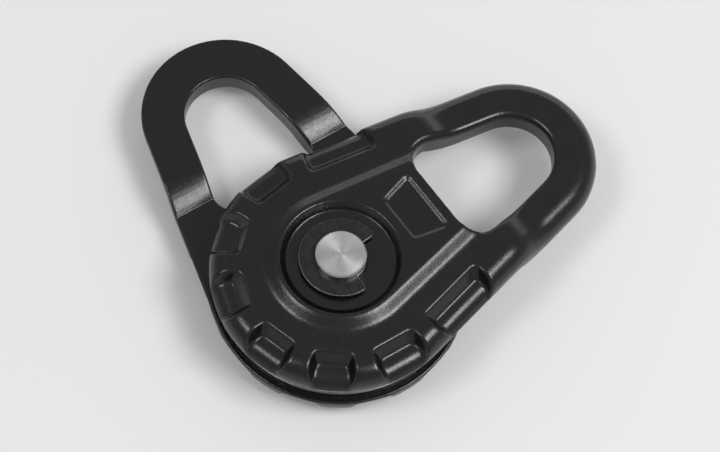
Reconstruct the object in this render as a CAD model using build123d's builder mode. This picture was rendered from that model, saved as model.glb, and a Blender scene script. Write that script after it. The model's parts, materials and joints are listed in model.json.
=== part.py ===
from build123d import *
import os
from math import asin, atan, cos, degrees, radians, sin, tan

# ---------------------------------------------------------------------------
# Single sheave block with two identical forged side plates that swing on the
# axle pin.  The origin is the middle of the rope wheel on the pin's axis, +Z
# runs along the pin, and +X points along the lower plate's shackle eye.
# Millimetres.
# ---------------------------------------------------------------------------

# Axle pin, with a groove for a clip near each end and a grease way to its middle
pin_radius = 12.0
pin_top = 27.25
pin_bottom = -23.5
pin_chamfer = 0.7
clip_groove_radius = 10.0
clip_groove_play = 0.1
running_clearance = 0.05
grease_way_radius = 1.5
grease_slot_radius = 1.2

# Rope wheel for a 9.5 mm rope, its bush and the two thrust washers
sheave_radius = 57.15
sheave_width = 12.7
rope_groove_radius = 5.2
rope_groove_bottom = 50.0
rope_groove_lip = 0.9
web_depth = 2.2
web_inner_radius = 22.5
web_outer_radius = 44.0
web_slope = 1.5
bush_radius = 15.0
bush_length = 12.5
bush_chamfer = 0.5
washer_radius = 21.0
washer_thickness = 0.6
washer_gap = 0.05

# Flush grease nipple in the pin's lower end
nipple_radius = 4.0
nipple_length = 5.0
nipple_dish_radius = 2.6
nipple_dish_depth = 1.2
nipple_bore_radius = 0.8

# Side plate: heights are measured from its flat inner face
inner_face = sheave_width / 2 + washer_thickness + 2 * washer_gap
shelf_height = 13.2
plateau_height = 16.5
pocket_floor = 7.0
eye_face_gap = 0.4
eye_thickness = 13.1
disc_radius = 61.5
eye_radius = 41.3
eye_centre = 103.8
shoulder_radius = 9.5
lip_radius = 0.6

# Joggle that brings the eye in to the middle of the block
joggle_foot = 69.2
joggle_inner_length = 9.6
joggle_outer_length = 12.5
joggle_outer_shift = 4.5
joggle_inner_radius = 36.0
joggle_outer_radius = 27.0

# Eye hole: a round outer end, two straight legs and a straight inner edge
hole_radius = 20.5
hole_centre = 102.8
hole_inner_edge = 56.3
hole_corner_radius = 12.5
hole_edge_radius = 3.0

# Raised keyhole boss round the pin
plateau_radius = 36.3
plateau_slope = 5.9
plateau_end = 66.0
plateau_end_half_width = 25.3
counterbore_radius = 28.8
counterbore_floor_radius = 25.6
counterbore_depth = 3.7
counterbore_edge_radius = 0.8

# Blank recessed panel between the pin and the eye
panel_inner = 33.0
panel_outer = 51.5
panel_inner_half_width = 12.6
panel_outer_half_width = 17.1
panel_depth = 1.4
panel_wall_run = 1.8
panel_corner_radius = 2.2

# Grip pockets: three short ones round each half of the rim, and a long one on each flank.
# Each short one is placed by its angle from the plate's tail.
pocket_angles = (17.0, 50.0, 85.0)
pocket_half_widths = (8.6, 8.6, 10.3)
pocket_side_angle = 14.0
pocket_top = 45.9
pocket_wall_run = 4.4
pocket_side_run = 3.1
pocket_corner_radius = 2.6
pocket_edge_radius = 8.0
pocket_edge_slope = 60.0
pocket_lip_height = 1.2
long_pocket_start = 5.7
long_pocket_end = 42.0
long_pocket_top = 46.6

# Retaining clips
clip_radius = 19.8
clip_thickness = 2.0
clip_opening = 88.0
clip_corner_radius = 2.4
upper_clip_below_end = 3.8
lower_clip_above_end = 1.0
upper_clip_turn = -130.0
lower_clip_turn = 40.0

# Angle of the upper plate from the lower one, as the open block lies
swing_angle = -86.5

# Heights of the plate's eye from the plate's flat inner face
eye_inner_height = eye_face_gap - inner_face
eye_outer_height = eye_inner_height + eye_thickness
joggle_inner_end = joggle_foot + joggle_inner_length
joggle_outer_start = joggle_foot + joggle_outer_shift
joggle_outer_end = joggle_outer_start + joggle_outer_length
flank_angle = degrees(asin((disc_radius - eye_radius) / eye_centre))
overrun = 5.0
margin = 1.0
upright_limit = 0.1
facing_limit = 0.5

os.makedirs("parts", exist_ok=True)


def upright(faces):
    """Faces that stand parallel to the pin."""
    return faces.filter_by(lambda f: abs(f.normal_at().Z) < upright_limit)


def shared_edges(faces, walls):
    """Edges where the faces meet the walls."""
    wall_edges = walls.edges()
    return faces.edges().filter_by(lambda e: e in wall_edges)


def plan_outline():
    """Plan of a side plate: the disc and the eye's round end, joined by straight flanks."""
    with BuildSketch(mode=Mode.PRIVATE) as plan:
        Circle(disc_radius)
        with Locations((eye_centre, 0)):
            Circle(eye_radius)
        make_hull()
    return plan.sketch


def eye_hole_plan():
    """Plan of the eye's hole: a round end, two straight legs and a straight inner edge."""
    flank_sine = sin(radians(flank_angle))
    leg_line = hole_radius + hole_centre * flank_sine
    inner_half_width = (leg_line - hole_inner_edge * flank_sine) / cos(radians(flank_angle))
    with BuildSketch(mode=Mode.PRIVATE) as plan:
        with BuildLine():
            Polyline(
                (hole_inner_edge, -inner_half_width),
                (hole_centre, 0),
                (hole_inner_edge, inner_half_width),
                close=True,
            )
        make_face()
        with Locations((hole_centre, 0)):
            Circle(hole_radius)
        make_hull()
        fillet(plan.vertices().group_by(Axis.X)[0], hole_corner_radius)
    return plan.sketch


def plateau_plan():
    """Foot of the raised keyhole boss: a circle round the pin, tapering to the eye's hole."""
    with BuildSketch(mode=Mode.PRIVATE) as plan:
        Circle(plateau_radius)
        with BuildLine():
            Polyline(
                (0, 0),
                (plateau_end, -plateau_end_half_width),
                (plateau_end, plateau_end_half_width),
                close=True,
            )
        make_face()
        make_hull()
    return plan.sketch


def panel_plan():
    """Plan of the blank recessed panel, wider towards the eye."""
    with BuildSketch(mode=Mode.PRIVATE) as plan:
        with BuildLine():
            Polyline(
                (panel_inner, -panel_inner_half_width),
                (panel_outer, -panel_outer_half_width),
                (panel_outer, panel_outer_half_width),
                (panel_inner, panel_inner_half_width),
                close=True,
            )
        make_face()
        fillet(plan.vertices(), panel_corner_radius)
    return plan.sketch


def pocket_tool(top_edge, half_length, side_angle):
    """Solid that cuts one grip pocket, which opens outwards along +X.

    Its inner wall slopes from the top edge to the floor, a soft slope leads from the floor to
    the rim, and each side wall leans out and turns from the X axis by the side angle."""
    far = disc_radius + overrun
    high = shelf_height + overrun
    depth = shelf_height - pocket_floor
    wall_lean = pocket_wall_run / depth
    edge_slope = tan(radians(pocket_edge_slope))
    edge_start = disc_radius - (pocket_floor - pocket_lip_height) / edge_slope
    with BuildPart(mode=Mode.PRIVATE) as tool:
        with BuildSketch(Plane.XZ) as profile:
            with BuildLine():
                Polyline(
                    (top_edge - wall_lean * overrun, high),
                    (top_edge + pocket_wall_run, pocket_floor),
                    (edge_start, pocket_floor),
                    (far, pocket_floor - (far - edge_start) * edge_slope),
                    (far, high),
                    close=True,
                )
            make_face()
            soft = profile.vertices().sort_by_distance((edge_start, pocket_floor))[0]
            fillet(soft, pocket_edge_radius)
        extrude(amount=disc_radius, both=True)
        side_lean = pocket_side_run / depth
        widening = tan(radians(side_angle))
        with BuildSketch():
            inset = side_lean * shelf_height / cos(radians(side_angle))
            near_half = half_length - inset - overrun * widening
            far_half = half_length - inset + (far - top_edge + overrun) * widening
            with BuildLine():
                Polyline(
                    (top_edge - overrun, -near_half),
                    (far + overrun, -far_half - overrun * widening),
                    (far + overrun, far_half + overrun * widening),
                    (top_edge - overrun, near_half),
                    close=True,
                )
            make_face()
        lean_angle = degrees(atan(side_lean))
        extrude(amount=high, taper=-lean_angle, mode=Mode.INTERSECT)
        corners = tool.faces().sort_by(Axis.X)[0].edges()
        corners = corners.filter_by(lambda e: abs(e.center().Y) > near_half / 2)
        fillet(corners, pocket_corner_radius)
    return tool.part


def pocket_places():
    """Each pocket's tool and location: short ones round the disc, a long one on each flank."""
    long_tool = pocket_tool(long_pocket_top, (long_pocket_end - long_pocket_start) / 2, 0)
    places = []
    for angle, half_width in zip(pocket_angles, pocket_half_widths):
        short_tool = pocket_tool(pocket_top, half_width, pocket_side_angle)
        for side in (-1, 1):
            places.append((short_tool, Location((0, 0, 0), (0, 0, 180 + side * angle))))
    middle = (long_pocket_start + long_pocket_end) / 2
    for side in (-1, 1):
        along = Vector(cos(radians(flank_angle)), -side * sin(radians(flank_angle)), 0)
        places.append((long_tool, Location(along * middle, (0, 0, side * (90 - flank_angle)))))
    return places


# One side plate in its own frame: inner face on z = 0, outer face up, eye along +X
with BuildPart() as forging:
    with BuildSketch(Plane.XZ) as side_view:
        with BuildLine():
            Polyline(
                (-disc_radius - overrun, 0),
                (joggle_foot, 0),
                (joggle_inner_end, eye_inner_height),
                (eye_centre + eye_radius + overrun, eye_inner_height),
                (eye_centre + eye_radius + overrun, eye_outer_height),
                (joggle_outer_end, eye_outer_height),
                (joggle_outer_start, shelf_height),
                (-disc_radius - overrun, shelf_height),
                close=True,
            )
        make_face()
        bends = side_view.vertices().filter_by_position(Axis.X, joggle_foot + margin, eye_centre)
        fillet(bends.sort_by(Axis.Y)[0], joggle_inner_radius)
        bends = side_view.vertices().filter_by_position(Axis.Y, eye_outer_height, shelf_height)
        outer_bends = bends.filter_by_position(Axis.X, joggle_foot, eye_centre)
        fillet(outer_bends, joggle_outer_radius)
    extrude(amount=disc_radius + overrun, both=True)
    with BuildSketch(Plane.XY.offset(eye_inner_height - overrun)):
        add(plan_outline())
    extrude(amount=shelf_height - eye_inner_height + 2 * overrun, mode=Mode.INTERSECT)
    outer_faces = forging.faces().filter_by(lambda f: f.normal_at().Z > facing_limit)
    fillet(shared_edges(outer_faces, upright(forging.faces())), shoulder_radius)
    for tool, place in pocket_places():
        add(place * tool, mode=Mode.SUBTRACT)
    with BuildSketch(Plane.XY.offset(eye_inner_height - overrun)):
        add(eye_hole_plan())
    extrude(amount=plateau_height - eye_inner_height + 2 * overrun, mode=Mode.SUBTRACT)
    outer_faces = forging.faces().filter_by(lambda f: f.normal_at().Z > facing_limit)
    hole_end = hole_centre + hole_radius
    walls = upright(forging.faces())
    walls = walls.filter_by_position(Axis.X, hole_inner_edge - margin, hole_end + margin)
    walls = walls.filter_by_position(Axis.Y, -disc_radius / 2, disc_radius / 2)
    fillet(shared_edges(outer_faces, walls), hole_edge_radius)
    boss_rise = plateau_height - shelf_height
    with BuildSketch(Plane.XY.offset(shelf_height)):
        add(plateau_plan())
        add(eye_hole_plan(), mode=Mode.SUBTRACT)
    extrude(amount=-hole_edge_radius)
    with BuildSketch(Plane.XY.offset(shelf_height)):
        add(plateau_plan())
    extrude(amount=boss_rise, taper=degrees(atan(plateau_slope / boss_rise)))
    with BuildSketch(Plane.XY.offset(shelf_height)):
        add(eye_hole_plan())
    extrude(amount=boss_rise, mode=Mode.SUBTRACT)
    with BuildSketch(Plane.XY.offset(plateau_height)):
        Circle(counterbore_radius)
    wall_run = counterbore_radius - counterbore_floor_radius
    counterbore_taper = degrees(atan(wall_run / counterbore_depth))
    extrude(amount=-counterbore_depth, taper=counterbore_taper, mode=Mode.SUBTRACT)
    circles = forging.edges().filter_by(GeomType.CIRCLE)
    fillet(circles.sort_by(lambda e: abs(e.radius - counterbore_radius))[0], counterbore_edge_radius)
    with BuildSketch(Plane.XY.offset(plateau_height)):
        add(panel_plan())
    extrude(amount=-panel_depth, taper=degrees(atan(panel_wall_run / panel_depth)), mode=Mode.SUBTRACT)
    inner_faces = forging.faces().filter_by(lambda f: f.normal_at().Z < -facing_limit)
    fillet(shared_edges(inner_faces, upright(forging.faces())), lip_radius)
    Hole(pin_radius + running_clearance)

face_up = Location((0, 0, inner_face))
turned_over = Location((0, 0, -inner_face), (180, 0, 0))

with BuildPart() as upper_side_plate:
    add(Location((0, 0, 0), (0, 0, swing_angle)) * face_up * forging.part)
upper_side_plate.part.label = "upper_side_plate"
export_step(upper_side_plate.part, "parts/upper_side_plate.step")

with BuildPart() as lower_side_plate:
    add(turned_over * forging.part)
lower_side_plate.part.label = "lower_side_plate"
export_step(lower_side_plate.part, "parts/lower_side_plate.step")

# Rope wheel: a grooved rim, a thinner web and a hub, bored for the bush
with BuildPart() as sheave:
    half_width = sheave_width / 2
    with BuildSketch(Plane.XZ):
        with Locations(((bush_radius + sheave_radius) / 2, 0)):
            Rectangle(sheave_radius - bush_radius, sheave_width)
        with Locations((rope_groove_bottom + rope_groove_radius, 0)):
            Circle(rope_groove_radius, mode=Mode.SUBTRACT)
        groove_mouth = half_width - rope_groove_lip
        with BuildLine():
            Polyline(
                (rope_groove_bottom + rope_groove_radius, -rope_groove_radius),
                (sheave_radius, -groove_mouth),
                (sheave_radius + rope_groove_lip, -groove_mouth),
                (sheave_radius + rope_groove_lip, groove_mouth),
                (sheave_radius, groove_mouth),
                (rope_groove_bottom + rope_groove_radius, rope_groove_radius),
                close=True,
            )
        make_face(mode=Mode.SUBTRACT)
        for side in (-1, 1):
            with BuildLine():
                Polyline(
                    (web_inner_radius, side * half_width),
                    (web_inner_radius + web_slope, side * (half_width - web_depth)),
                    (web_outer_radius - web_slope, side * (half_width - web_depth)),
                    (web_outer_radius, side * half_width),
                    close=True,
                )
            make_face(mode=Mode.SUBTRACT)
    revolve(axis=Axis.Z)
sheave.part.label = "sheave"
export_step(sheave.part, "parts/sheave.step")

# Bronze bush, pressed into the wheel
with BuildPart() as sheave_bushing:
    with BuildSketch(Plane.XY.offset(-bush_length / 2)):
        Circle(bush_radius)
        Circle(pin_radius + running_clearance, mode=Mode.SUBTRACT)
    extrude(amount=bush_length)
    bush_ends = sheave_bushing.edges().filter_by(GeomType.CIRCLE)
    chamfer(bush_ends.filter_by(lambda e: e.radius > pin_radius + bush_chamfer), bush_chamfer)
sheave_bushing.part.label = "sheave_bushing"
export_step(sheave_bushing.part, "parts/sheave_bushing.step")


def thrust_washer(bottom):
    """Ring that keeps the turning wheel off a side plate."""
    with BuildPart(mode=Mode.PRIVATE) as ring:
        with BuildSketch(Plane.XY.offset(bottom)):
            Circle(washer_radius)
            Circle(pin_radius + 2 * running_clearance, mode=Mode.SUBTRACT)
        extrude(amount=washer_thickness)
    return ring.part


with BuildPart() as upper_thrust_washer:
    add(thrust_washer(sheave_width / 2 + washer_gap))
upper_thrust_washer.part.label = "upper_thrust_washer"
export_step(upper_thrust_washer.part, "parts/upper_thrust_washer.step")

with BuildPart() as lower_thrust_washer:
    add(thrust_washer(-sheave_width / 2 - washer_gap - washer_thickness))
lower_thrust_washer.part.label = "lower_thrust_washer"
export_step(lower_thrust_washer.part, "parts/lower_thrust_washer.step")

# Axle pin, turned from bar
upper_clip_bottom = pin_top - upper_clip_below_end - clip_thickness
lower_clip_bottom = pin_bottom + lower_clip_above_end
with BuildPart() as axle_pin:
    with BuildSketch(Plane.XY.offset(pin_bottom)):
        Circle(pin_radius)
    extrude(amount=pin_top - pin_bottom)
    chamfer(axle_pin.edges(), pin_chamfer)
    for clip_bottom in (upper_clip_bottom, lower_clip_bottom):
        with BuildSketch(Plane.XY.offset(clip_bottom - clip_groove_play)):
            Circle(pin_radius)
            Circle(clip_groove_radius, mode=Mode.SUBTRACT)
        extrude(amount=clip_thickness + 2 * clip_groove_play, mode=Mode.SUBTRACT)
    with BuildSketch(Plane.XY.offset(pin_bottom)):
        Circle(nipple_radius)
    extrude(amount=nipple_length, mode=Mode.SUBTRACT)
    with BuildSketch(Plane.XY.offset(pin_bottom)):
        Circle(grease_way_radius)
    extrude(amount=grease_way_radius - pin_bottom, mode=Mode.SUBTRACT)
    with BuildSketch(Plane.YZ):
        Circle(grease_slot_radius)
    extrude(amount=pin_radius, mode=Mode.SUBTRACT)
axle_pin.part.label = "axle_pin"
export_step(axle_pin.part, "parts/axle_pin.step")


def retaining_clip(bottom, turn):
    """Flat horseshoe clip that slides sideways into a groove of the pin."""
    with BuildPart(mode=Mode.PRIVATE) as clip:
        with BuildSketch(Plane.XY.offset(bottom)) as face:
            Circle(clip_radius)
            Circle(clip_groove_radius, mode=Mode.SUBTRACT)
            with BuildLine():
                half_opening = radians(clip_opening / 2)
                mouth = 2 * clip_radius
                Polyline(
                    (0, 0),
                    (mouth * cos(half_opening), mouth * sin(half_opening)),
                    (mouth * cos(half_opening), -mouth * sin(half_opening)),
                    close=True,
                )
            make_face(mode=Mode.SUBTRACT)
            fillet(face.vertices(), clip_corner_radius)
        extrude(amount=clip_thickness)
    return Location((0, 0, 0), (0, 0, turn)) * clip.part


with BuildPart() as upper_retaining_clip:
    add(retaining_clip(upper_clip_bottom, upper_clip_turn))
upper_retaining_clip.part.label = "upper_retaining_clip"
export_step(upper_retaining_clip.part, "parts/upper_retaining_clip.step")

with BuildPart() as lower_retaining_clip:
    add(retaining_clip(lower_clip_bottom, lower_clip_turn))
lower_retaining_clip.part.label = "lower_retaining_clip"
export_step(lower_retaining_clip.part, "parts/lower_retaining_clip.step")

# Grease nipple, pressed into the pin's lower end with a dished seat for the gun
with BuildPart() as grease_fitting:
    nipple_top = pin_bottom + nipple_length
    with BuildSketch(Plane.XZ):
        with BuildLine():
            Polyline(
                (nipple_bore_radius, pin_bottom + nipple_dish_depth),
                (nipple_dish_radius, pin_bottom),
                (nipple_radius, pin_bottom),
                (nipple_radius, nipple_top),
                (nipple_bore_radius, nipple_top),
                close=True,
            )
        make_face()
    revolve(axis=Axis.Z)
grease_fitting.part.label = "grease_fitting"
export_step(grease_fitting.part, "parts/grease_fitting.step")
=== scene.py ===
import json
from math import cos, pi, radians, sin

import bpy
import numpy as np
from mathutils import Matrix, Vector


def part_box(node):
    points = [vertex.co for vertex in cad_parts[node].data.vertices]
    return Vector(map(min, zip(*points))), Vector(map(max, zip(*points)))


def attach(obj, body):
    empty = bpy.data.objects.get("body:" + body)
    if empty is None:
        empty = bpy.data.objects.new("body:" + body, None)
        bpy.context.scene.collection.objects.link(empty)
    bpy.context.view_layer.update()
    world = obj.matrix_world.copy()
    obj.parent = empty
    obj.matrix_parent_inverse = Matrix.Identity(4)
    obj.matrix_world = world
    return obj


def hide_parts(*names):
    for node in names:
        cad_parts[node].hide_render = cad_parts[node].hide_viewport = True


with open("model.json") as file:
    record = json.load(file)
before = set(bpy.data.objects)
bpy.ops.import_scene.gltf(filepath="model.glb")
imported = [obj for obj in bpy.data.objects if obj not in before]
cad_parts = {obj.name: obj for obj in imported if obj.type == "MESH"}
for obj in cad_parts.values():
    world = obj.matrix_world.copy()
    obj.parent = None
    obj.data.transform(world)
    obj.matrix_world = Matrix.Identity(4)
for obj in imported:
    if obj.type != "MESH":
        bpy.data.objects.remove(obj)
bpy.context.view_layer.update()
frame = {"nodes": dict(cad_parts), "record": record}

MM = 0.001

# ---------------------------------------------------------------------------
# Node helpers
# ---------------------------------------------------------------------------


def new_material(name):
    """An empty node material, its node tree and its shader."""
    mat = bpy.data.materials.new(name)
    mat.use_nodes = True
    tree = mat.node_tree
    shader = tree.nodes["Principled BSDF"]
    return mat, tree, shader


def in_mm(tree):
    """Object coordinates in millimetres, so that every noise size below is a real size."""
    place = tree.nodes.new("ShaderNodeTexCoord")
    mapping = tree.nodes.new("ShaderNodeMapping")
    mapping.inputs["Scale"].default_value = [1 / MM] * 3
    tree.links.new(place.outputs["Object"], mapping.inputs["Vector"])
    return mapping.outputs["Vector"]


def noise(tree, vector, feature, detail=2.0, roughness=0.5):
    """Noise whose lumps are about `feature` millimetres across."""
    node = tree.nodes.new("ShaderNodeTexNoise")
    node.inputs["Scale"].default_value = 1 / feature
    node.inputs["Detail"].default_value = detail
    node.inputs["Roughness"].default_value = roughness
    tree.links.new(vector, node.inputs["Vector"])
    return node.outputs["Fac"]


def spread(tree, value, low, high, start=0.3, end=0.7):
    """Maps a value from start..end to low..high; noise mostly lies between the defaults."""
    node = tree.nodes.new("ShaderNodeMapRange")
    node.inputs["From Min"].default_value = start
    node.inputs["From Max"].default_value = end
    node.inputs["To Min"].default_value = low
    node.inputs["To Max"].default_value = high
    tree.links.new(value, node.inputs["Value"])
    return node.outputs["Result"]


def colour_by(tree, shader, cloud, dark, light):
    """Base colour that drifts from dark to light with a noise."""
    node = tree.nodes.new("ShaderNodeMix")
    node.data_type = "RGBA"
    node.inputs["A"].default_value = (*dark, 1)
    node.inputs["B"].default_value = (*light, 1)
    tree.links.new(spread(tree, cloud, 0, 1), node.inputs["Factor"])
    tree.links.new(node.outputs["Result"], shader.inputs["Base Color"])


def roughness_by(tree, shader, cloud, low, high):
    """Roughness that drifts from low to high with a noise."""
    tree.links.new(spread(tree, cloud, low, high), shader.inputs["Roughness"])


def add_bump(tree, height, strength, depth_mm, under=None, share=None):
    """Bump of that depth in millimetres, laid over an earlier bump; a share replaces strength."""
    node = tree.nodes.new("ShaderNodeBump")
    node.inputs["Strength"].default_value = strength
    node.inputs["Distance"].default_value = depth_mm * MM
    tree.links.new(height, node.inputs["Height"])
    if share is not None:
        tree.links.new(share, node.inputs["Strength"])
    if under is not None:
        tree.links.new(under, node.inputs["Normal"])
    return node.outputs["Normal"]


def facing_up_or_down(tree, low, high, start, end):
    """Goes from low on upright walls to high on faces that lie flat."""
    place = tree.nodes.new("ShaderNodeTexCoord")
    split = tree.nodes.new("ShaderNodeSeparateXYZ")
    tree.links.new(place.outputs["Normal"], split.inputs["Vector"])
    size = tree.nodes.new("ShaderNodeMath")
    size.operation = "ABSOLUTE"
    tree.links.new(split.outputs["Z"], size.inputs[0])
    return spread(tree, size.outputs["Value"], low, high, start, end)


def radius_and_height(tree):
    """A vector of millimetres from the Z axis and along it."""
    place = tree.nodes.new("ShaderNodeTexCoord")
    split = tree.nodes.new("ShaderNodeSeparateXYZ")
    tree.links.new(place.outputs["Object"], split.inputs["Vector"])
    flat = tree.nodes.new("ShaderNodeCombineXYZ")
    tree.links.new(split.outputs["X"], flat.inputs["X"])
    tree.links.new(split.outputs["Y"], flat.inputs["Y"])
    radius = tree.nodes.new("ShaderNodeVectorMath")
    radius.operation = "LENGTH"
    tree.links.new(flat.outputs["Vector"], radius.inputs[0])
    profile = tree.nodes.new("ShaderNodeCombineXYZ")
    tree.links.new(radius.outputs["Value"], profile.inputs["X"])
    tree.links.new(split.outputs["Z"], profile.inputs["Z"])
    scale = tree.nodes.new("ShaderNodeVectorMath")
    scale.operation = "SCALE"
    scale.inputs["Scale"].default_value = 1 / MM
    tree.links.new(profile.outputs["Vector"], scale.inputs[0])
    return scale.outputs["Vector"]


# ---------------------------------------------------------------------------
# Materials
# ---------------------------------------------------------------------------


def black_coat():
    """Satin black coat over a shot-blasted forging, smoother on the trimmed rim and hole."""
    mat, tree, shader = new_material("black_coat")
    place = in_mm(tree)
    cloud = noise(tree, place, feature=9.0, detail=3.0)
    colour_by(tree, shader, cloud, (0.003, 0.003, 0.0031), (0.0045, 0.0045, 0.0046))
    gloss = noise(tree, place, feature=2.2, detail=4.0, roughness=0.6)
    roughness_by(tree, shader, gloss, 0.2, 0.29)
    shader.inputs["Specular IOR Level"].default_value = 0.5
    blasted = facing_up_or_down(tree, low=0.12, high=1.0, start=0.25, end=0.6)
    pits = noise(tree, place, feature=0.7, roughness=0.6)
    grain = add_bump(tree, pits, strength=1.0, depth_mm=0.055, share=blasted)
    swells = noise(tree, place, feature=7.0)
    waves = add_bump(tree, swells, strength=0.2, depth_mm=0.25, under=grain)
    tree.links.new(waves, shader.inputs["Normal"])
    return mat


def turned_metal(name, dark, light, rough_low, rough_high, ring_mm):
    """Metal turned on a lathe: fine rings round the Z axis, and a streak that follows them."""
    mat, tree, shader = new_material(name)
    rings = noise(tree, radius_and_height(tree), feature=ring_mm, detail=4.0, roughness=0.65)
    cloud = noise(tree, in_mm(tree), feature=5.0, detail=3.0)
    colour_by(tree, shader, cloud, dark, light)
    roughness_by(tree, shader, rings, rough_low, rough_high)
    shader.inputs["Metallic"].default_value = 1.0
    shader.inputs["Anisotropic"].default_value = 0.6
    shader.inputs["Anisotropic Rotation"].default_value = 0.25
    tangent = tree.nodes.new("ShaderNodeTangent")
    tangent.direction_type = "RADIAL"
    tangent.axis = "Z"
    tree.links.new(tangent.outputs["Tangent"], shader.inputs["Tangent"])
    grooves = add_bump(tree, rings, strength=0.35, depth_mm=0.02)
    tree.links.new(grooves, shader.inputs["Normal"])
    return mat


def bare_steel(name, dark, light, rough_low, rough_high, cloud_mm):
    """Smooth bare steel."""
    mat, tree, shader = new_material(name)
    cloud = noise(tree, in_mm(tree), feature=cloud_mm, detail=3.0)
    colour_by(tree, shader, cloud, dark, light)
    roughness_by(tree, shader, cloud, rough_low, rough_high)
    shader.inputs["Metallic"].default_value = 1.0
    return mat


def blackened_steel():
    """Spring steel with a thin black oxide."""
    mat, tree, shader = new_material("blackened_steel")
    place = in_mm(tree)
    cloud = noise(tree, place, feature=3.0, detail=4.0, roughness=0.6)
    colour_by(tree, shader, cloud, (0.012, 0.012, 0.0125), (0.024, 0.024, 0.025))
    roughness_by(tree, shader, cloud, 0.24, 0.34)
    shader.inputs["Metallic"].default_value = 0.35
    skin = add_bump(tree, noise(tree, place, feature=1.0, detail=3.0), strength=0.4, depth_mm=0.02)
    tree.links.new(skin, shader.inputs["Normal"])
    return mat


# Material of each slot; a turned metal has its name, its darkest and lightest colour,
# its lowest and highest roughness, and the width of its rings in millimetres
MATERIALS = {
    "black_coated_steel": black_coat(),
    "turned_steel": turned_metal(
        "turned_steel_face", (0.5, 0.495, 0.49), (0.62, 0.613, 0.605), 0.34, 0.5, 0.28
    ),
    "zinc_plated_steel": turned_metal(
        "zinc_turned", (0.42, 0.43, 0.45), (0.55, 0.56, 0.57), 0.3, 0.45, 0.5
    ),
    "bronze": turned_metal(
        "bronze_turned", (0.42, 0.26, 0.12), (0.55, 0.36, 0.18), 0.3, 0.45, 0.5
    ),
    "washer_bronze": turned_metal(
        "bronze_washer", (0.45, 0.3, 0.14), (0.58, 0.41, 0.22), 0.25, 0.4, 0.6
    ),
    "fitting_steel": turned_metal(
        "fitting_face", (0.5, 0.5, 0.5), (0.62, 0.61, 0.6), 0.25, 0.35, 0.4
    ),
    "blackened_spring_steel": blackened_steel(),
}
# Bright bare steel, a painted highlight: a line along the coated upper plate's lip, and the clips'
# bevels, where the oxide is also rubbed down to the steel
RUBBED_EDGE_AND_PAINTED_HIGHLIGHT = bare_steel("rubbed_steel_and_painted_highlight", (0.3, 0.295, 0.29), (0.6, 0.59, 0.58), 0.2, 0.3, 1.5)
# The pin's side and chamfers
GROUND = bare_steel("ground_steel", (0.5, 0.49, 0.48), (0.6, 0.59, 0.58), 0.16, 0.24, 2.0)

# ---------------------------------------------------------------------------
# Pieces
# ---------------------------------------------------------------------------
RECORD = frame["record"]
BODY_OF = {n: b for b, names in RECORD["behaviour"]["bodies"].items() for n in names}
WELD_DISTANCE = 0.001 * MM


def apply_modifiers(obj):
    """Replaces the object's mesh by what its modifiers make of it."""
    graph = bpy.context.evaluated_depsgraph_get()
    mesh = bpy.data.meshes.new_from_object(obj.evaluated_get(graph))
    obj.modifiers.clear()
    obj.data = mesh


def copy_of(node, name):
    """A new object with a copy of the CAD node's mesh, its doubled points to be welded."""
    obj = bpy.data.objects.new(name, frame["nodes"][node].data.copy())
    bpy.context.scene.collection.objects.link(obj)
    weld = obj.modifiers.new("weld", "WELD")
    weld.merge_threshold = WELD_DISTANCE
    return obj


def stands_for(obj, node, slot):
    """Gives the object the slot's material and its body, and hides the CAD node that it replaces.
    """
    obj.data.materials.clear()
    obj.data.materials.append(MATERIALS[slot])
    obj.data.shade_smooth()
    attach(obj, BODY_OF[node])
    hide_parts(node)


def even_normals(obj):
    """Shading that follows the large faces."""
    even = obj.modifiers.new("even", "WEIGHTED_NORMAL")
    even.mode = "FACE_AREA"


# ---------------------------------------------------------------------------
# Side plates: the plate runs from the pin at x = 0 to its eye along x, heights
# are measured from its inner face, and every size is in millimetres
# ---------------------------------------------------------------------------
VOXEL = 0.42 * MM
PLATE_TRIANGLES = 190000
PLATE_PLACE = {
    mount["name"].replace("eye", "side_plate"): Vector(mount["pos_m"])
    for mount in RECORD["mounts"]
    if mount["name"] in ("upper_eye", "lower_eye")
}
INNER_FACE = 7.05

# Outline, and the eye's hole, whose legs are parallel to the flanks
DISC_RADIUS = 61.5
EYE_CENTRE, EYE_RADIUS = 103.8, 41.3
FLANK_TURN = radians(11.23)
HOLE_CENTRE, HOLE_RADIUS = 102.8, 20.5
HOLE_INNER_EDGE, HOLE_SQUARE_LENGTH = 56.3, 12

# Joggle of the inner face
JOGGLE_FOOT, JOGGLE_END, JOGGLE_RADIUS, JOGGLE_DROP = 69.2, 90.05, 36.0, 6.65
FOOT_REACH, FOOT_ERROR = 1.2, 0.2

# Keyhole boss: radius of its foot, where its round part ends, and the width of its slope
BOSS_FOOT, BOSS_TANGENT, BOSS_SLOPE = 36.3, radians(80.1), 5.9
PANEL_MIDDLE = 42.0

# Softened regions: each pair holds the values where softening begins and ends,
# and the rounds are how often it is repeated
BOSS_SHIFT, BOSS_BAND, BOSS_ROUNDS = 1, (3.0, 6.0), 40
BOSS_HEIGHTS, BOSS_RADII = (10.0, 11.5), (29.4, 30.2)
GRIP_START, GRIP_HEIGHTS, GRIP_ROUNDS = (42.0, 44.0), (2.0, 4.0), 16
HOLE_BAND, HOLE_ROUNDS = (1.5, 4.0), 12
PANEL_LENGTHS, PANEL_WIDTHS, PANEL_HEIGHTS = (12.0, 13.5), (19.0, 21.0), (13.5, 14.2)
PANEL_ROUNDS = 20
LIP_WIDTHS, LIP_HEIGHTS = (1.5, 3.0), (1.2, 2.6)
LIP_ROUNDS = {"upper_side_plate": 30, "lower_side_plate": 3}
ALL_ROUNDS = 3

# Painted highlight line along the lip: its reach, and how far its faces turn to the inner side
LIP_HIGHLIGHT_REACH, LIP_HIGHLIGHT_FACING = 1.5, (-0.12, 0.6)


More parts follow.
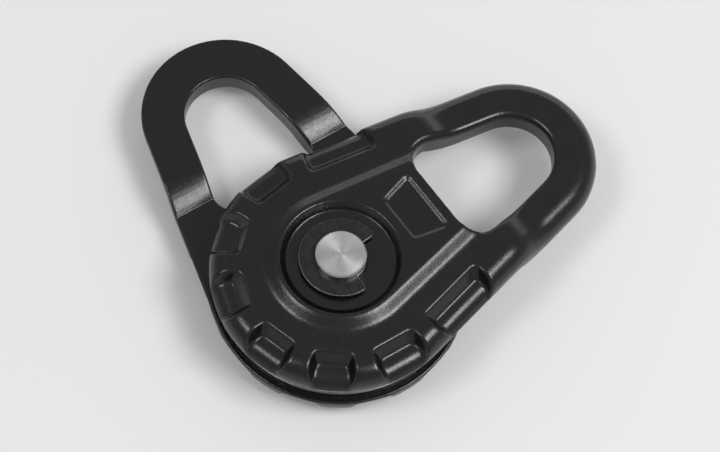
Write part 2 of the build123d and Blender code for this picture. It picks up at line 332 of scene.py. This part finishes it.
def fade(value, full, none):
    """1 where value is at most full, 0 where it is at least none, smooth between."""
    share = np.clip((none - value) / (none - full), 0, 1)
    return share * share * (3 - 2 * share)


def rise(value, none, full):
    """0 where value is at most none, 1 where it is at least full, smooth between."""
    return fade(-value, -full, -none)


def plate_coordinates(points, node):
    """Millimetres along the plate, across it and up from its inner face."""
    along = PLATE_PLACE[node].xy.normalized()
    x = points[:, 0] * along.x + points[:, 1] * along.y
    y = points[:, 1] * along.x - points[:, 0] * along.y
    return x / MM, y / MM, np.abs(points[:, 2]) / MM - INNER_FACE


def above_inner_face(x, height):
    """Height above the inner face, which is flat under the disc and then arcs away to the eye."""
    run = np.clip(JOGGLE_END - x, 0, JOGGLE_END - JOGGLE_FOOT)
    arc = JOGGLE_RADIUS - np.sqrt(JOGGLE_RADIUS**2 - run**2) - JOGGLE_DROP
    return height - np.minimum(0, arc)


def from_outline(x, y):
    """Millimetres outside the plate's outline, the hull of its disc and its round eye."""
    disc = np.hypot(x, y) - DISC_RADIUS
    flank = x * sin(FLANK_TURN) + np.abs(y) * cos(FLANK_TURN) - DISC_RADIUS
    eye = np.hypot(x - EYE_CENTRE, y) - EYE_RADIUS
    tangent = pi / 2 - FLANK_TURN
    outside = np.where(np.arctan2(np.abs(y), x) > tangent, disc, flank)
    return np.where(np.arctan2(np.abs(y), x - EYE_CENTRE) < tangent, eye, outside)


def from_hole(x, y):
    """Millimetres outside the eye's hole."""
    leg = np.abs(y) * cos(FLANK_TURN) - (HOLE_CENTRE - x) * sin(FLANK_TURN)
    hole = np.where(x > HOLE_CENTRE, np.hypot(x - HOLE_CENTRE, y), leg) - HOLE_RADIUS
    by_edge = x < HOLE_INNER_EDGE + HOLE_SQUARE_LENGTH
    return np.where(by_edge, np.maximum(hole, HOLE_INNER_EDGE - x), hole)


def soft_regions(points, node):
    """How far each point gives way in each region of the plate, and the region's rounds."""
    x, y, height = plate_coordinates(points, node)
    radius = np.hypot(x, y)
    flank = x * cos(BOSS_TANGENT) + np.abs(y) * sin(BOSS_TANGENT)
    outwards = np.where(np.arctan2(np.abs(y), x) > BOSS_TANGENT, radius, flank)
    from_slope = np.abs(outwards - BOSS_FOOT + BOSS_SLOPE / 2 - BOSS_SHIFT)
    boss = fade(from_slope, *BOSS_BAND) * rise(height, *BOSS_HEIGHTS) * rise(radius, *BOSS_RADII)
    grips = rise(outwards, *GRIP_START) * rise(height, *GRIP_HEIGHTS)
    hole = fade(np.abs(from_hole(x, y)), *HOLE_BAND)
    panel_plan = fade(np.abs(x - PANEL_MIDDLE), *PANEL_LENGTHS) * fade(np.abs(y), *PANEL_WIDTHS)
    panel = panel_plan * rise(height, *PANEL_HEIGHTS)
    near_outline = fade(np.abs(from_outline(x, y)), *LIP_WIDTHS)
    lip = near_outline * fade(above_inner_face(x, height), *LIP_HEIGHTS)
    return (
        (np.ones(len(points)), ALL_ROUNDS),
        (grips, GRIP_ROUNDS),
        (hole, HOLE_ROUNDS),
        (boss, BOSS_ROUNDS),
        (panel, PANEL_ROUNDS),
        (lip, LIP_ROUNDS[node]),
    )


def soften(points, edges, weight, rounds):
    """Moves each point towards its neighbours' mean, as far as its weight says."""
    ends = np.concatenate((edges[:, 0], edges[:, 1]))
    others = np.concatenate((edges[:, 1], edges[:, 0]))
    count = np.bincount(ends, minlength=len(points))
    for _ in range(rounds):
        for axis in range(3):
            mean = np.bincount(ends, points[others, axis], len(points)) / count
            points[:, axis] += 0.5 * weight * (mean - points[:, axis])


def level_joggle_foot(points, node):
    """Puts the points round the joggle's foot back on the inner face."""
    x, y, height = plate_coordinates(points, node)
    above = above_inner_face(x, height)
    foot = (np.abs(x - JOGGLE_FOOT) < FOOT_REACH) & (np.abs(above) < FOOT_ERROR)
    points[foot, 2] -= np.sign(points[foot, 2]) * above[foot] * MM


def values_of(items, name, width, kind):
    """One property of every item of a mesh, a row for each."""
    values = np.empty(len(items) * width, kind)
    items.foreach_get(name, values)
    return values.reshape(-1, width)


def paint_lip_highlight(obj, node):
    """Paints a highlight line of bright bare steel along the lip that the outline and the inner
    face share.
    """
    mesh = obj.data
    mesh.materials.append(RUBBED_EDGE_AND_PAINTED_HIGHLIGHT)
    middles = values_of(mesh.polygons, "center", 3, np.float32)
    normals = values_of(mesh.polygons, "normal", 3, np.float32)
    inward = -normals[:, 2] * np.sign(middles[:, 2])
    x, y, height = plate_coordinates(middles, node)
    by_outline = np.abs(from_outline(x, y)) < LIP_HIGHLIGHT_REACH
    by_inner_face = above_inner_face(x, height) < LIP_HIGHLIGHT_REACH
    facing = (inward > LIP_HIGHLIGHT_FACING[0]) & (inward < LIP_HIGHLIGHT_FACING[1])
    lip_highlight = by_outline & by_inner_face & facing
    mesh.polygons.foreach_set("material_index", lip_highlight.astype(np.int32))


def forged_plate(node):
    """The side plate with the soft edges of a forging."""
    obj = copy_of(node, node.replace("side_plate", "plate_forging"))
    remesh = obj.modifiers.new("remesh", "REMESH")
    remesh.mode = "VOXEL"
    remesh.voxel_size = VOXEL
    apply_modifiers(obj)
    mesh = obj.data
    points = values_of(mesh.vertices, "co", 3, np.float32).astype(float)
    edges = values_of(mesh.edges, "vertices", 2, np.int32)
    for weight, rounds in soft_regions(points, node):
        soften(points, edges, weight, rounds)
    level_joggle_foot(points, node)
    mesh.vertices.foreach_set("co", points.astype(np.float32).ravel())
    mesh.update()
    # The remeshed faces are quads, two triangles each
    fewer = obj.modifiers.new("fewer", "DECIMATE")
    fewer.ratio = PLATE_TRIANGLES / (2 * len(mesh.polygons))
    apply_modifiers(obj)
    stands_for(obj, node, "black_coated_steel")
    # Only the lit upper plate gets the painted highlight line along its lip; the shaded lower
    # plate's lip stays dark
    if node == "upper_side_plate":
        paint_lip_highlight(obj, node)
    even_normals(obj)


for node in ("upper_side_plate", "lower_side_plate"):
    forged_plate(node)

# ---------------------------------------------------------------------------
# Pin, clips and the pieces between the plates
# ---------------------------------------------------------------------------
FLAT_ANGLE, CRISP_ANGLE = radians(0.5), radians(35)
BEVEL_SEGMENTS = 3
CLIP_BEVEL, PIN_BEVEL = 0.5 * MM, 0.2 * MM
CLIP_EDGE_FACING = (0.3, 0.95)
PIN_SIDE_FACING = (-1, 0.9)


def bevelled(node, name, slot, width, second_material, facing):
    """A CAD node with its crisp edges rounded, and a second material on faces that lean so far."""
    obj = copy_of(node, name)
    flat = obj.modifiers.new("flat", "DECIMATE")
    flat.decimate_type = "DISSOLVE"
    flat.angle_limit = FLAT_ANGLE
    bevel = obj.modifiers.new("bevel", "BEVEL")
    bevel.width = width
    bevel.segments = BEVEL_SEGMENTS
    bevel.limit_method = "ANGLE"
    bevel.angle_limit = CRISP_ANGLE
    apply_modifiers(obj)
    stands_for(obj, node, slot)
    even_normals(obj)
    obj.data.materials.append(second_material)
    for face in obj.data.polygons:
        if facing[0] < abs(face.normal.z) < facing[1]:
            face.material_index = 1


# The clips' bevels get the bright bare steel: rubbed edges and a painted highlight line
for side in ("upper", "lower"):
    clip_node, clip_name = side + "_retaining_clip", side + "_clip"
    bevelled(clip_node, clip_name, "blackened_spring_steel", CLIP_BEVEL, RUBBED_EDGE_AND_PAINTED_HIGHLIGHT, CLIP_EDGE_FACING)
bevelled("axle_pin", "pin", "turned_steel", PIN_BEVEL, GROUND, PIN_SIDE_FACING)

for node, slot in (
    ("sheave", "zinc_plated_steel"),
    ("sheave_bushing", "bronze"),
    ("upper_thrust_washer", "washer_bronze"),
    ("lower_thrust_washer", "washer_bronze"),
    ("grease_fitting", "fitting_steel"),
):
    mesh = frame["nodes"][node].data
    mesh.materials.clear()
    mesh.materials.append(MATERIALS[slot])

# ---------------------------------------------------------------------------
# Stage: floor, light and camera, all set out in the camera's own plan and
# then turned to the row frame
# ---------------------------------------------------------------------------
PLAN_TURN = Matrix.Rotation(radians(-128.55), 4, "Z")
FLOOR_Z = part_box("lower_side_plate")[0].z
# Metres from the pin to the floor's middle, its radius, and its number of sides
FLOOR_BEHIND, FLOOR_RADIUS, FLOOR_SIDES = 0.15, 7.0, 128


def pale_floor():
    """Matt, almost white, with a trace of its own light."""
    mat, _, shader = new_material("pale_floor")
    shader.inputs["Base Color"].default_value = (0.69, 0.69, 0.688, 1)
    shader.inputs["Roughness"].default_value = 0.9
    shader.inputs["Specular IOR Level"].default_value = 0.0
    shader.inputs["Emission Color"].default_value = (1, 1, 0.998, 1)
    shader.inputs["Emission Strength"].default_value = 0.04
    return mat


def floor_disc():
    """The floor, under the lower plate's boss."""
    middle = PLAN_TURN @ Vector((0, FLOOR_BEHIND, FLOOR_Z))
    turns = [2 * pi * i / FLOOR_SIDES for i in range(FLOOR_SIDES)]
    points = [middle + Vector((FLOOR_RADIUS * cos(t), FLOOR_RADIUS * sin(t), 0)) for t in turns]
    mesh = bpy.data.meshes.new("floor")
    mesh.from_pydata(points, [], [tuple(range(FLOOR_SIDES))])
    mesh.materials.append(pale_floor())
    obj = bpy.data.objects.new("floor", mesh)
    bpy.context.scene.collection.objects.link(obj)


def softbox(name, azimuth, elevation, distance, width, height, radiance):
    """A rectangular light that looks at the block's middle."""
    a, e = radians(azimuth), radians(elevation)
    towards = PLAN_TURN @ Vector((cos(a) * cos(e), sin(a) * cos(e), sin(e)))
    data = bpy.data.lights.new(name, "AREA")
    data.shape = "RECTANGLE"
    data.size, data.size_y = width, height
    data.energy = radiance * pi * width * height
    obj = bpy.data.objects.new(name, data)
    obj.location = towards * distance
    obj.rotation_mode = "QUATERNION"
    obj.rotation_quaternion = (-towards).to_track_quat("-Z", "Y")
    bpy.context.scene.collection.objects.link(obj)


# Name, azimuth and elevation in degrees, distance, width and height in metres, radiance
LIGHTS = (
    ("key_right", -15, 57, 2.5, 1.1, 0.85, 13.0),
    ("key_left", -158, 59, 2.5, 0.75, 0.65, 9.5),
    ("back", 85, 14, 2.0, 2.4, 0.45, 1.2),
)
# Grey of the surroundings at each height of the view, from the horizon to straight up
WORLD_SHADES = ((0.0, 0.5), (0.6, 0.38), (0.85, 0.48), (0.96, 0.4))


def surroundings():
    """A grey studio round the block."""
    world = bpy.data.worlds.new("studio")
    world.use_nodes = True
    tree = world.node_tree
    place = tree.nodes.new("ShaderNodeTexCoord")
    split = tree.nodes.new("ShaderNodeSeparateXYZ")
    tree.links.new(place.outputs["Generated"], split.inputs["Vector"])
    ramp = tree.nodes.new("ShaderNodeValToRGB")
    stops = ramp.color_ramp.elements
    while len(stops) < len(WORLD_SHADES):
        stops.new(1.0)
    for stop, (height, shade) in zip(stops, WORLD_SHADES):
        stop.position = height
        stop.color = (shade, shade, shade, 1)
    tree.links.new(split.outputs["Z"], ramp.inputs["Fac"])
    tree.links.new(ramp.outputs["Color"], tree.nodes["Background"].inputs["Color"])
    bpy.context.scene.world = world


# Camera, fitted to the photo's circles: radians, metres, pixels, and the sensor in millimetres
ELEVATION, ROLL = radians(65.02), radians(6.35)
DISTANCE, AIM_RIGHT, AIM_UP = 1.0, 9.94 * MM, 24.09 * MM
FOCAL_PIXELS, FRAME_WIDTH = 2106.5, 720
SENSOR = 36.0


def camera():
    """The photo's view, 65 degrees above the horizon and one metre from the block."""
    data = bpy.data.cameras.new("camera")
    data.sensor_width = SENSOR
    data.lens = FOCAL_PIXELS / FRAME_WIDTH * SENSOR
    obj = bpy.data.objects.new("camera", data)
    right = Vector((1, 0, 0))
    up = Vector((0, sin(ELEVATION), cos(ELEVATION)))
    back = Vector((0, -cos(ELEVATION), sin(ELEVATION)))
    rolled_right = right * cos(ROLL) + up * sin(ROLL)
    rolled_up = up * cos(ROLL) - right * sin(ROLL)
    place = rolled_right * AIM_RIGHT + rolled_up * AIM_UP + back * DISTANCE
    axes = Matrix((rolled_right, rolled_up, back)).transposed().to_4x4()
    obj.matrix_world = PLAN_TURN @ Matrix.Translation(place) @ axes
    bpy.context.scene.collection.objects.link(obj)
    bpy.context.scene.camera = obj


floor_disc()
for light in LIGHTS:
    softbox(*light)
surroundings()
bpy.context.scene.view_settings.view_transform = "Standard"
camera()
